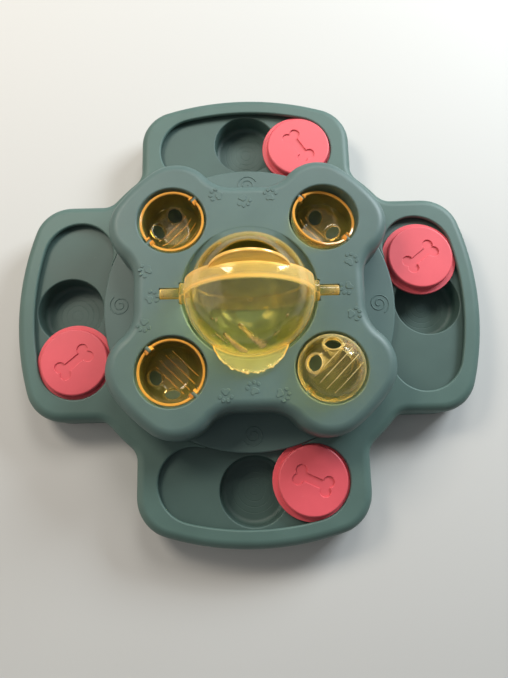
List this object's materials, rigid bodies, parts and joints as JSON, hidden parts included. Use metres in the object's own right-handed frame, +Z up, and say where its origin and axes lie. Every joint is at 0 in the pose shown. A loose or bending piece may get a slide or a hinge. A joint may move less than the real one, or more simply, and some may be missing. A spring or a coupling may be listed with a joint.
{
  "type": "dog puzzle toy",
  "caption": "Treat puzzle for dogs: four-lobed base with discs that slide over wells, topped by flip cups and a rocking treat ball.",
  "frame": {"origin": "centre of the base on the floor", "axes": "+Z up, -Y to the front, +X to the right; the ball's pins lie along X"},
  "size_m": [0.299, 0.299, 0.1007],
  "materials": {
    "base_green_plastic": "fine satin, moulded",
    "pan_green_plastic": "fine satin, moulded",
    "cover_green_plastic": "satin, moulded",
    "coral_plastic": "satin, moulded",
    "amber_plastic": "clear and tinted, gloss, moulded",
    "black_rubber": "moulded",
    "screw_steel": "zinc plated"
  },
  "bodies": {
    "base": {"base_shell": "base_green_plastic", "base_pan": "pan_green_plastic", "top_cover": "cover_green_plastic", "foot_front": "black_rubber", "foot_right": "black_rubber", "foot_rear": "black_rubber", "foot_left": "black_rubber", "base_screw_1": "screw_steel", "base_screw_2": "screw_steel", "base_screw_3": "screw_steel", "base_screw_4": "screw_steel", "base_screw_5": "screw_steel", "base_screw_6": "screw_steel", "base_screw_7": "screw_steel", "base_screw_8": "screw_steel", "cover_screw_1": "screw_steel", "cover_screw_2": "screw_steel", "cover_screw_3": "screw_steel", "cover_screw_4": "screw_steel"},
    "slider_front": {"slider_front": "coral_plastic"},
    "slider_right": {"slider_right": "coral_plastic"},
    "slider_rear": {"slider_rear": "coral_plastic"},
    "slider_left": {"slider_left": "coral_plastic"},
    "cup_rear_right": {"cup_rear_right": "amber_plastic"},
    "cup_rear_left": {"cup_rear_left": "amber_plastic"},
    "cup_front_left": {"cup_front_left": "amber_plastic"},
    "cup_front_right": {"cup_front_right": "amber_plastic"},
    "ball": {"ball_front_shell": "amber_plastic", "ball_back_shell": "amber_plastic"}
  },
  "joints": [
    {"name": "slider_front_slide", "type": "hinge", "parent": "base", "child": "slider_front", "pos_m": [0, 0, 0.0203], "axis": [0, 0, 1], "range_deg": [-36.16, 0.64]},
    {"name": "slider_right_slide", "type": "hinge", "parent": "base", "child": "slider_right", "pos_m": [0, 0, 0.0203], "axis": [0, 0, 1], "range_deg": [-33, 3.8]},
    {"name": "slider_rear_slide", "type": "hinge", "parent": "base", "child": "slider_rear", "pos_m": [0, 0, 0.0203], "axis": [0, 0, 1], "range_deg": [-0.34, 36.46]},
    {"name": "slider_left_slide", "type": "hinge", "parent": "base", "child": "slider_left", "pos_m": [0, 0, 0.0203], "axis": [0, 0, 1], "range_deg": [-35.84, 0.96]},
    {"name": "cup_rear_right_flip", "type": "hinge", "parent": "base", "child": "cup_rear_right", "pos_m": [0.04632, 0.04632, 0.051], "axis": [0.7071, -0.7071, 0], "continuous": true},
    {"name": "cup_rear_left_flip", "type": "hinge", "parent": "base", "child": "cup_rear_left", "pos_m": [-0.04632, 0.04632, 0.051], "axis": [0.7071, 0.7071, 0], "continuous": true},
    {"name": "cup_front_left_flip", "type": "hinge", "parent": "base", "child": "cup_front_left", "pos_m": [-0.04632, -0.04632, 0.051], "axis": [-0.7071, 0.7071, 0], "continuous": true},
    {"name": "cup_front_right_flip", "type": "hinge", "parent": "base", "child": "cup_front_right", "pos_m": [0.04632, -0.04632, 0.051], "axis": [-0.7071, -0.7071, 0], "continuous": true},
    {"name": "ball_roll", "type": "hinge", "parent": "base", "child": "ball", "pos_m": [0, 0, 0.052], "axis": [-1, 0, 0], "range_deg": [0, 76]}
  ]
}
